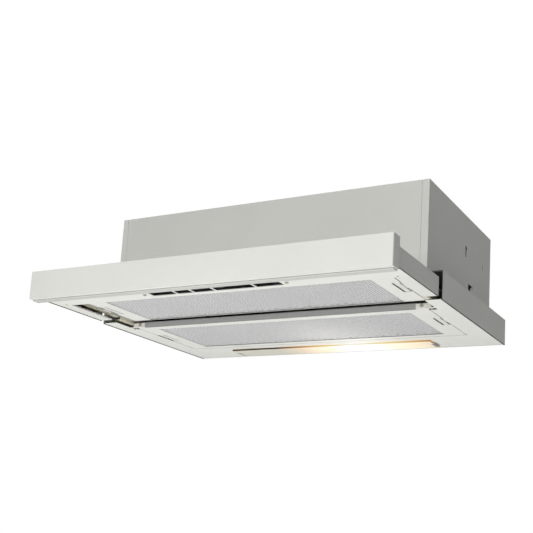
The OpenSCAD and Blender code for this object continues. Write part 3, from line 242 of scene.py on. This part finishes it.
def enamel(name, colour, gloss=0.44, coat=0.06):
    """Sprayed enamel on sheet steel: fine pigment, faint cloudiness and orange peel."""
    s = Shader(name)
    cloud = s.ramp(s.noise(scale=5.0, detail=3.0), tones(colour, dark=0.965, light=1.03))
    fleck = s.ramp(s.noise(scale=2600.0, detail=1.0), [(0.35, shade(WHITE, 0.94)), (0.65, WHITE)])
    s.set(Base_Color=s.multiplied(cloud, fleck, share=0.6),
          Roughness=s.span(s.noise(scale=60.0, detail=3.0), low=gloss - 0.05, high=gloss + 0.07),
          Coat_Weight=coat, Coat_Roughness=0.22, Specular_IOR_Level=0.15)
    s.bump(s.noise(scale=420.0), depth=0.00012, strength=0.35)
    return s.material


def zinc(name, dark, light, metal):
    """Zinc plate: small spangles that differ in tone and gloss, with lines along the part."""
    s = Shader(name)
    spangle = s.cells(scale=260.0)
    tone = s.ramp(spangle.outputs["Color"], [(0.15, dark), (0.85, light)])
    streak = s.noise(scale=30.0, detail=4.0, vector=s.stretched((12.0, 0.6, 12.0)))
    lines = s.ramp(streak, [(0.3, (0.82, 0.82, 0.80)), (0.7, WHITE)])
    s.set(Base_Color=s.multiplied(tone, lines, share=0.7),
          Roughness=s.span(spangle.outputs["Distance"], low=0.30, high=0.46, end=0.004),
          Metallic=metal)
    s.bump(streak, depth=0.00008, strength=0.4)
    return s.material


def foil(name, colour, rough, metal):
    """Rolled aluminium foil, bright and slightly crumpled."""
    s = Shader(name)
    s.set(Base_Color=s.ramp(s.noise(scale=900.0), tones(colour, dark=0.86, light=1.0)),
          Roughness=s.span(s.noise(scale=160.0), low=rough - 0.08, high=rough + 0.12),
          Metallic=metal)
    s.bump(s.noise(scale=520.0, detail=3.0), depth=0.0003, strength=0.6)
    return s.material


def moulded(name, colour, rough=0.5, grain=0.00006, coat=0.0):
    """Moulded plastic or rubber with a fine spark-eroded grain."""
    s = Shader(name)
    s.set(Base_Color=s.ramp(s.noise(scale=90.0, detail=3.0), tones(colour, dark=0.92, light=1.06)),
          Roughness=s.span(s.noise(scale=700.0), low=rough - 0.06, high=rough + 0.08),
          Coat_Weight=coat, Coat_Roughness=0.25)
    s.bump(s.noise(scale=1500.0), depth=grain, strength=0.5)
    return s.material


def casting(name, colour):
    """Die-cast aluminium: grainy, half metallic."""
    s = Shader(name)
    s.set(Base_Color=s.ramp(s.noise(scale=240.0, detail=4.0), tones(colour, dark=0.8, light=1.1)),
          Roughness=s.span(s.noise(scale=500.0), low=0.42, high=0.6),
          Metallic=0.8)
    s.bump(s.noise(scale=800.0, detail=3.0), depth=0.0002, strength=0.6)
    return s.material


def circuit(name):
    """Green board with copper tracks under the lacquer."""
    s = Shader(name)
    tracks = s.node("TexBrick", Color1=BOARD_DARK, Color2=BOARD_PALE, Mortar=BOARD_TRACK,
                    Scale=160.0, Vector=s.place)
    s.set(Base_Color=tracks.outputs["Color"], Roughness=0.35)
    s.bump(tracks.outputs["Fac"], depth=0.00005, strength=0.5)
    return s.material


def reflector(name):
    """Bright rolled reflector sheet, pebbled."""
    s = Shader(name)
    pebble = s.cells(scale=300.0).outputs["Distance"]
    s.set(Base_Color=s.ramp(pebble, [(0.0, REFLECTOR_PALE), (1.0, REFLECTOR_DARK)]),
          Roughness=s.span(pebble, low=0.16, high=0.3),
          Metallic=0.9)
    s.bump(pebble, depth=0.0004, strength=0.5)
    return s.material


def glow(name, steps, strength, base):
    """Translucent glass or plastic lit from inside, as the steps say along the lamp."""
    s = Shader(name)
    along = s.node("SeparateXYZ", Vector=s.place).outputs["X"]
    left = s.span(along, low=1.0, high=0.0, start=GLOW_X - GLOW_LEFT, end=GLOW_X)
    right = s.span(along, low=0.0, high=1.0, start=GLOW_X, end=GLOW_X + GLOW_RIGHT)
    s.set(Base_Color=s.ramp(s.noise(scale=300.0), tones(base, dark=0.97, light=1.0)),
          Emission_Color=s.ramp(s.larger(left, right), steps), Emission_Strength=strength,
          Roughness=0.4, Specular_IOR_Level=0.3)
    s.bump(s.noise(scale=900.0), depth=0.0001, strength=0.5)
    return s.material


# One finish for each material slot of the record
FINISHES = {
    "housing_paint": enamel("housing_enamel", PAINT),
    "frame_paint": enamel("frame_enamel", PAINT),
    # The underside and filter frames carry painted light from below
    "underside_paint": enamel("underside_painted_light", UNDERSIDE_PAINTED_LIGHT, gloss=0.48),
    "drawer_paint": enamel("drawer_enamel", PAINT),
    "fascia_paint": enamel("fascia_enamel", PAINT, gloss=0.40, coat=0.10),
    # The grip's enamel carries painted shade
    "grip_paint": enamel("grip_painted_shade", shade(PAINT, GRIP_PAINTED_SHADE), gloss=0.40, coat=0.10),
    "zinc": zinc("yellow_zinc", OLIVE_ZINC, PALE_ZINC, metal=0.45),
    "bare_steel": zinc("bright_zinc", shade(STEEL, STEEL_SHADE), STEEL, metal=0.95),
    "filter_aluminium": enamel("filter_frame_painted_light", UNDERSIDE_PAINTED_LIGHT, gloss=0.46),
    # The mat's foil carries painted shade, darker than the mesh over it
    "filter_mat": foil("mat_foil_painted_shade", shade(ALUMINIUM, MAT_PAINTED_SHADE), rough=0.42, metal=0.3),
    "latch_plastic": moulded("latch_plastic_grain", LATCH_PLASTIC, rough=0.38),
    "control_plastic": moulded("control_plastic_grain", CONTROL_PLASTIC, rough=0.4),
    "blower_plastic": moulded("blower_plastic_grain", BLOWER_PLASTIC, rough=0.48),
    "board": circuit("board_lacquer"),
    "motor_metal": casting("motor_casting", MOTOR_METAL),
    "mount_rubber": moulded("mount_rubber_grain", MOUNT_RUBBER, rough=0.7, grain=0.0001),
    "capacitor_plastic": moulded("capacitor_grain", CAPACITOR_PLASTIC, rough=0.45),
    "reflector": reflector("reflector_sheet"),
    "ceramic": moulded("ceramic_glaze", CERAMIC, rough=0.3, grain=0.00003, coat=0.3),
    "bulb_glass": glow("lit_bulb", BULB_STEPS, BULB_STRENGTH, BULB_GLASS),
    "lamp_lens": glow("lit_lens", GLOW_STEPS, LENS_STRENGTH, LENS_PLASTIC),
    "switch_plastic": moulded("switch_grain", SWITCH_PLASTIC),
    "plunger_plastic": moulded("plunger_grain", PLUNGER_PLASTIC, rough=0.4),
}
SCREW_FINISH = zinc("screw_zinc", SCREW_DARK, SCREW_PALE, metal=0.4)
# Painted shade of the lower bends of the frame and the drawer
HEM_SHADE_FINISH = enamel("hem_painted_shade", HEM_PAINTED_SHADE)

# Second finishes, which paint shade on faces where it falls: how far a normal leans, and where the
# finishes begin and end.
# FACING is the least share towards a direction, UPRIGHT the most share towards Z.
FACING = 0.5
UPRIGHT = 0.3
NOTCH_REAR_Y = -0.080
PLATE_EDGE_Y = -0.140
LEDGE_LOW_Z = -0.145
FRAME_LOW_Z = -0.1799
SEAM_X = 0.290
WINDOW_HALF = 0.250


def finish_nodes():
    """Each carried-over CAD node takes its slot's finish; faces in gaps, seams and recesses, where
    shade falls, take a painted shade.
    """
    for name, node in NODES.items():
        node.data.materials.clear()
        node.data.materials.append(FINISHES[SLOT_OF[name]])
    # The cross rail takes painted shade of the drawer above it
    NODES["cross_rail"].data.materials[0] = enamel("cross_rail_painted_shade", RAIL_PAINTED_SHADE)
    # Painted shade on opening edges, seam walls, the frame's ledge and rail faces, where shade
    # falls
    painted_shade = enamel("painted_shade_enamel", PAINTED_SHADE_COLOUR)
    # Painted shade on the rear walls of the filter windows
    shaded_window_wall = foil("shaded_window_wall_foil", shade(ALUMINIUM, WALL_PAINTED_SHADE), rough=0.5, metal=0.3)
    retouch("underside_plate", painted_shade, lambda n, c: (n.y < -FACING and c.y < PLATE_EDGE_Y)
            or (abs(n.z) < UPRIGHT and c.y > NOTCH_REAR_Y))
    retouch("drawer_floor", painted_shade, lambda n, c: abs(n.z) < UPRIGHT and abs(c.x) > SEAM_X)
    retouch("lower_frame", painted_shade, lambda n, c: n.y < -FACING
            or (n.z < -FACING and not FRAME_LOW_Z <= c.z <= LEDGE_LOW_Z))
    for side, outward in (("left", -1), ("right", 1)):
        retouch("inner_rail_" + side, painted_shade,
                lambda n, c: n.y < -FACING or n.x * outward > FACING)
        retouch("outer_rail_" + side, painted_shade, lambda n, c: n.y < -FACING)
        retouch("ball_cage_" + side, painted_shade, lambda n, c: n.y < -FACING)
    # The filter windows' rear walls take painted shade
    for which in ("front", "rear"):
        retouch(which + "_filter_frame", shaded_window_wall,
                lambda n, c: n.y < -FACING and abs(c.x) < WINDOW_HALF)


def retouch(name, finish, chosen):
    """Gives some faces of a carried-over node a second finish, by their normal and centre."""
    mesh = NODES[name].data
    mesh.materials.append(finish)
    for polygon in mesh.polygons:
        if chosen(polygon.normal, polygon.center):
            polygon.material_index = 1


# Mesh tools

def piece(name, verts, faces, body, slot, finish=None):
    """A new object that rides on a body and takes its slot's finish, or the one given."""
    mesh = bpy.data.meshes.new(name)
    mesh.from_pydata(verts, [], faces)
    mesh.update()
    obj = bpy.data.objects.new(name, mesh)
    bpy.context.scene.collection.objects.link(obj)
    obj.data.materials.append(finish or FINISHES[slot])
    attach(obj, body)
    return obj


def loft(rings, matrix, verts, faces):
    """Closed skin through rings of equal point counts, capped at both ends."""
    first = len(verts)
    count = len(rings[0])
    for ring in rings:
        verts.extend(matrix @ Vector(p) for p in ring)
    for k in range(len(rings) - 1):
        a, b = first + k * count, first + (k + 1) * count
        faces.extend((a + i, a + (i + 1) % count, b + (i + 1) % count, b + i) for i in range(count))
    faces.append(tuple(first + i for i in reversed(range(count))))
    last = first + (len(rings) - 1) * count
    faces.append(tuple(last + i for i in range(count)))


def facing(axis, origin):
    """Matrix that turns +Z to the axis and moves to the origin."""
    turn = Vector((0, 0, 1)).rotation_difference(Vector(axis)).to_matrix().to_4x4()
    return Matrix.Translation(origin) @ turn


def circle(angles, radius, z):
    return [(radius * math.cos(a), radius * math.sin(a), z) for a in angles]


def rectangle(x, y, inset, z):
    """Corners over two spans, drawn in by the inset."""
    (x0, x1), (y0, y1) = x, y
    return [(x0 + inset, y0 + inset, z), (x0 + inset, y1 - inset, z),
            (x1 - inset, y1 - inset, z), (x1 - inset, y0 + inset, z)]


def slab(x, y, z, ease, verts, faces):
    """A closed box over three spans, with eased edges at its top and bottom."""
    levels = ((ease, z[0]), (0.0, z[0] + ease), (0.0, z[1] - ease), (ease, z[1]))
    loft([rectangle(x, y, inset, level) for inset, level in levels], Matrix.Identity(4),
         verts, faces)


def on_side(sign, span):
    """A span in X, on the left (-1) or the right (1)."""
    return sorted((sign * span[0], sign * span[1]))


# Corners that agree to this many digits are one corner
CORNER_DIGITS = 6


def islands(name):
    """Bounds of each solid in a node, found by joining the faces that share a corner."""
    mesh = NODES[name].data
    corners = [tuple(round(c, CORNER_DIGITS) for c in vertex.co) for vertex in mesh.vertices]
    parent = {corner: corner for corner in corners}

    def root(corner):
        while parent[corner] != corner:
            parent[corner] = parent[parent[corner]]
            corner = parent[corner]
        return corner

    for polygon in mesh.polygons:
        first, *others = [corners[i] for i in polygon.vertices]
        for corner in others:
            parent[root(corner)] = root(first)
    groups = {}
    for corner in parent:
        groups.setdefault(root(corner), []).append(corner)
    boxes = [(Vector([min(axis) for axis in zip(*group)]),
              Vector([max(axis) for axis in zip(*group)])) for group in groups.values()]
    return sorted(boxes, key=lambda box: tuple(box[0]))


# Expanded aluminium mesh in the filter windows
MESH_LONG = 8.4 * MM
MESH_SHORT = 4.4 * MM
MESH_RISE = 1.14 * MM
# How far the mesh reaches past the filter's mat on each side
MESH_OVERLAP = 2.0 * MM
# A strand's width at its start, middle and end
STRAND_WIDTHS = (3.5 * MM, 0.80 * MM, 0.35 * MM)
STRAND_THICK = 0.10 * MM
STRAND_TILT = 0.16 * MM


def strand(verts, faces, start, end):
    """One strand of expanded metal: a thin closed strip, wide at its bond and narrow at its end,
    tilted about its length."""
    along = (end - start).normalized()
    across = Vector((-along.y, along.x, 0)) / 2
    lean = Vector((0, 0, STRAND_TILT / 2))
    thick = Vector((0, 0, STRAND_THICK / 2))
    first = len(verts)
    for k, width in enumerate(STRAND_WIDTHS):
        point = start.lerp(end, k / (len(STRAND_WIDTHS) - 1))
        for side, face in ((-1, -1), (-1, 1), (1, 1), (1, -1)):
            verts.append(point + side * (across * width + lean) + face * thick)
    for k in range(len(STRAND_WIDTHS) - 1):
        a = first + 4 * k
        faces += [(a + i, a + (i + 1) % 4, a + 4 + (i + 1) % 4, a + 4 + i) for i in range(4)]
    faces += [(first + 3, first + 2, first + 1, first), tuple(range(len(verts) - 4, len(verts)))]


def filter_mesh(which, finish):
    """Diamonds of expanded metal over a filter's window, one strand in each half cell."""
    mat_low, mat_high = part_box(which + "_filter_mat")
    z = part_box(which + "_filter_frame")[0].z + MESH_RISE
    low_x, low_y = mat_low.x - MESH_OVERLAP, mat_low.y - MESH_OVERLAP
    high_x, high_y = mat_high.x + MESH_OVERLAP, mat_high.y + MESH_OVERLAP
    columns = int((high_x - low_x) / (MESH_LONG / 2))
    rows = int((high_y - low_y) / (MESH_SHORT / 2))
    step_x = (high_x - low_x) / columns
    step_y = (high_y - low_y) / rows
    verts, faces = [], []
    for i in range(columns):
        for j in range(rows):
            x = low_x + i * step_x
            y0, y1 = low_y + j * step_y, low_y + (j + 1) * step_y
            if (i + j) % 2:
                y0, y1 = y1, y0
            strand(verts, faces, Vector((x, y0, z)), Vector((x + step_x, y1, z)))
    piece(which + "_filter_mesh", verts, faces, which + "_panel", "filter_mat", finish)


# Screws: rings of the head as shares of its radius and height, then the shank and the recess
HEAD_HEIGHT = 1.6 * MM
HEAD_RINGS = ((0.62, 0.94), (0.86, 0.74), (1.0, 0.30), (1.0, 0.0))
SHANK_SHARE = 0.5
RECESS_ARM = 0.55
RECESS_HALF = 0.11
RECESS_DEPTH = 0.55
SCREW_WAYS = {"housing_screws": (0, 0, 1), "cross_rail_screws": (0, -1, 0),
              "fascia_screws": (0, 1, 0), "floor_screws": (0, 0, -1), "collar_screws": (0, 0, 1)}


def cross_outline(a, w):
    """Outline of a cross recess of arm a and half width w, with a point amid each side."""
    corners = [(a, w), (w, w), (w, a), (-w, a), (-w, w), (-a, w),
               (-a, -w), (-w, -w), (-w, -a), (w, -a), (w, -w), (a, -w)]
    points = []
    for (x0, y0), (x1, y1) in zip(corners, corners[1:] + corners[:1]):
        points += [(x0, y0), ((x0 + x1) / 2, (y0 + y1) / 2)]
    return points


def cross_screws(name, way):
    """Pan-head screws with a cross recess, in place of the node's plain ones."""
    axis = Vector(way)
    lane = [abs(c) for c in way].index(1)
    across = (lane + 1) % 3
    verts, faces = [], []
    for low, high in islands(name):
        radius = (high[across] - low[across]) / 2
        length = high[lane] - low[lane]
        place = (low + high) / 2 + axis * (length / 2 - HEAD_HEIGHT)
        outline = cross_outline(RECESS_ARM * radius, RECESS_HALF * radius)
        angles = [math.atan2(y, x) for x, y in outline]
        rings = [circle(angles, radius * SHANK_SHARE, HEAD_HEIGHT - length),
                 circle(angles, radius * SHANK_SHARE, 0.0)]
        rings += [circle(angles, radius * r, HEAD_HEIGHT * z) for r, z in reversed(HEAD_RINGS)]
        rings += [[(x, y, z) for x, y in outline]
                  for z in (HEAD_HEIGHT, HEAD_HEIGHT * (1 - RECESS_DEPTH))]
        loft(rings, facing(axis, place), verts, faces)
    obj = piece(name + "_cross", verts, faces, BODY_OF[name], SLOT_OF[name], SCREW_FINISH)
    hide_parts(name)


# Rivets on the underside: rings as shares of radius and height, and places on the right side
RIVET_R = 1.7 * MM
RIVET_H = 0.6 * MM
RIVET_RINGS = ((1.0, -0.5), (1.0, 0.0), (0.85, 0.7), (0.5, 1.0))
RIVET_SIDES = 24
DRAWER_RIVET = (0.2792, -0.2640, -0.1775)
FRAME_RIVET = (0.2664, -0.0986, -0.1800)


def rivets(name, place, body):
    angles = [2 * math.pi * i / RIVET_SIDES for i in range(RIVET_SIDES)]
    rings = [circle(angles, RIVET_R * r, RIVET_H * z) for r, z in RIVET_RINGS]
    x, y, z = place
    verts, faces = [], []
    for sign in (-1, 1):
        loft(rings, facing((0, 0, -1), Vector((sign * x, y, z))), verts, faces)
    piece(name, verts, faces, body, "zinc", SCREW_FINISH)


# The lamp's pane, proud of the underside, and the spring clips that hold its ends.
# A face of the pane is flat where its normal's Z passes PANE_FLAT.
PANE_PROUD = 2.9 * MM
PANE_INSET_X = 2.5 * MM
PANE_INSET_Y = 4.0 * MM
PANE_BITE = 0.5 * MM
PANE_EASE = 0.35 * MM
PANE_FLAT = 0.9
CLIP_Y = (0.114, 0.138)
CLIP_OVER = 4.5 * MM
CLIP_FOOT = 3.5 * MM
CLIP_T = 0.5 * MM
EASE = 0.15 * MM


def lamp_pane():
    """The pane's flat face glows as the lens does; its edge is near black under a glow of its own.
    """
    low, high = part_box("lamp_cover")
    x = (low.x + PANE_INSET_X, high.x - PANE_INSET_X)
    y = (low.y + PANE_INSET_Y, high.y - PANE_INSET_Y)
    bottom, top = low.z - PANE_PROUD, low.z + PANE_BITE
    levels = ((PANE_EASE, bottom), (0.0, bottom + PANE_EASE), (0.0, top))
    verts, faces = [], []
    loft([rectangle(x, y, inset, z) for inset, z in levels], Matrix.Identity(4), verts, faces)
    mesh = piece("lamp_glass_face", verts, faces, "hood", "lamp_lens").data
    mesh.materials.append(glow("lit_lens_edge", EDGE_STEPS, LENS_STRENGTH, LENS_EDGE))
    for polygon in mesh.polygons:
        polygon.material_index = int(abs(polygon.normal.z) < PANE_FLAT)


def pane_clips():
    low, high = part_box("lamp_cover")
    end = high.x - PANE_INSET_X
    under = low.z - PANE_PROUD
    lip = ((end - CLIP_OVER, end + CLIP_T), (under - CLIP_T, under + EASE))
    web = ((end - EASE, end + CLIP_T), (under - CLIP_T, low.z + EASE))
    foot = ((end, end + CLIP_FOOT), (low.z - CLIP_T, low.z + EASE))
    verts, faces = [], []
    for sign in (-1, 1):
        for x, z in (lip, web, foot):
            slab(on_side(sign, x), CLIP_Y, z, EASE, verts, faces)
    piece("lamp_clips", verts, faces, "hood", "bare_steel")


# Olive wells that close the panels above the catches, just over each catch's own plate
WELL_T = 0.25 * MM
WELL_X = (0.2466, 0.2602)
WELL_HALF_Y = 0.0235


def catch_wells(which):
    verts, faces = [], []
    for side, sign in (("left", -1), ("right", 1)):
        low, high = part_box(which + "_latch_" + side)
        middle = (low.y + high.y) / 2
        bottom = high.z + EASE
        slab(on_side(sign, WELL_X), (middle - WELL_HALF_Y, middle + WELL_HALF_Y),
             (bottom, bottom + WELL_T), WELL_T / 4, verts, faces)
    piece(which + "_catch_wells", verts, faces, which + "_panel", "zinc")


# Painted shade: near-black strips along the lower outer bends of the frame and the drawer, where
# the bends fall into shade
HEM_H = 0.9 * MM
FRAME_HEM_X = (0.2973, 0.2990)
DRAWER_HEM_X = (0.2952, 0.2965)


def shade_hems(name, span_x, beside, body):
    low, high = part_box(beside)
    verts, faces = [], []
    for sign in (-1, 1):
        slab(on_side(sign, span_x), (low.y, high.y), (low.z - HEM_H, low.z + EASE), HEM_H / 4,
             verts, faces)
    piece(name, verts, faces, body, "frame_paint", HEM_SHADE_FINISH)


# Stage, light and camera

def floor():
    mesh = bpy.data.meshes.new("floor")
    h = FLOOR_HALF
    mesh.from_pydata([(-h, -h, FLOOR_Z), (h, -h, FLOOR_Z), (h, h, FLOOR_Z), (-h, h, FLOOR_Z)],
                     [], [(0, 1, 2, 3)])
    obj = bpy.data.objects.new("floor", mesh)
    bpy.context.scene.collection.objects.link(obj)
    s = Shader("floor_paper")
    s.set(Base_Color=s.ramp(s.noise(scale=0.8), tones(FLOOR_COLOUR, dark=0.985, light=1.0)),
          Roughness=0.9)
    mesh.materials.append(s.material)


def world():
    """White behind the object and in its reflections; a plain grey level as light."""
    studio = bpy.data.worlds.new("studio")
    bpy.context.scene.world = studio
    studio.use_nodes = True
    nodes, links = studio.node_tree.nodes, studio.node_tree.links
    nodes.clear()
    path = nodes.new("ShaderNodeLightPath")
    seen = path.outputs["Is Camera Ray"]
    for ray in ("Is Glossy Ray", "Is Transmission Ray"):
        either = nodes.new("ShaderNodeMath")
        either.operation = "MAXIMUM"
        links.new(seen, either.inputs[0])
        links.new(path.outputs[ray], either.inputs[1])
        seen = either.outputs[0]
    level = nodes.new("ShaderNodeMapRange")
    level.inputs["To Min"].default_value = WORLD_LEVEL
    level.inputs["To Max"].default_value = 1.0
    links.new(seen, level.inputs["Value"])
    background = nodes.new("ShaderNodeBackground")
    background.inputs["Color"].default_value = (*WHITE, 1.0)
    links.new(level.outputs["Result"], background.inputs["Strength"])
    out = nodes.new("ShaderNodeOutputWorld")
    links.new(background.outputs["Background"], out.inputs["Surface"])


def softbox(name, place, target, size, watts, colour):
    light = bpy.data.lights.new(name, "AREA")
    light.shape = "RECTANGLE"
    light.size, light.size_y = size
    light.energy = watts
    light.color = colour
    obj = bpy.data.objects.new(name, light)
    obj.location = place
    obj.rotation_euler = (Vector(target) - Vector(place)).to_track_quat("-Z", "Y").to_euler()
    obj.visible_camera = False
    bpy.context.scene.collection.objects.link(obj)


def camera():
    forward = Vector((-math.sin(CAMERA_YAW) * math.cos(CAMERA_PITCH),
                      math.cos(CAMERA_YAW) * math.cos(CAMERA_PITCH), math.sin(CAMERA_PITCH)))
    right = Vector((math.cos(CAMERA_YAW), math.sin(CAMERA_YAW), 0))
    up = right.cross(forward)
    side = math.cos(CAMERA_ROLL) * right + math.sin(CAMERA_ROLL) * up
    rise = -math.sin(CAMERA_ROLL) * right + math.cos(CAMERA_ROLL) * up
    cam = bpy.data.cameras.new("camera")
    cam.sensor_width = SENSOR_MM
    cam.lens = FOCAL_PIXELS * SENSOR_MM / PICTURE_PIXELS
    cam.shift_y = (HORIZON_ROW - PICTURE_PIXELS / 2) / PICTURE_PIXELS
    cam.clip_start = CAMERA_NEAR
    cam.clip_end = CAMERA_FAR
    obj = bpy.data.objects.new("camera", cam)
    turn = Matrix((side, rise, -forward)).transposed().to_4x4()
    obj.matrix_world = Matrix.Translation(Vector(CAMERA_PLACE)) @ turn
    bpy.context.scene.collection.objects.link(obj)
    bpy.context.scene.camera = obj


camera()
world()
floor()
for box_name, box_values in SOFTBOXES.items():
    softbox(box_name, *box_values)
finish_nodes()
mesh_foil = foil("mesh_foil", shade(ALUMINIUM, STRAND_SHADE), rough=0.46, metal=0.0)
filter_mesh("front", mesh_foil)
filter_mesh("rear", mesh_foil)
lamp_pane()
pane_clips()
catch_wells("front")
catch_wells("rear")
shade_hems("frame_shade_hems", FRAME_HEM_X, "lower_frame", "hood")
shade_hems("drawer_shade_hems", DRAWER_HEM_X, "drawer_side_left", "drawer")
rivets("drawer_rivets", DRAWER_RIVET, "drawer")
rivets("frame_rivets", FRAME_RIVET, "hood")
for screws, screw_way in SCREW_WAYS.items():
    cross_screws(screws, screw_way)
bpy.context.scene.view_settings.view_transform = "Standard"
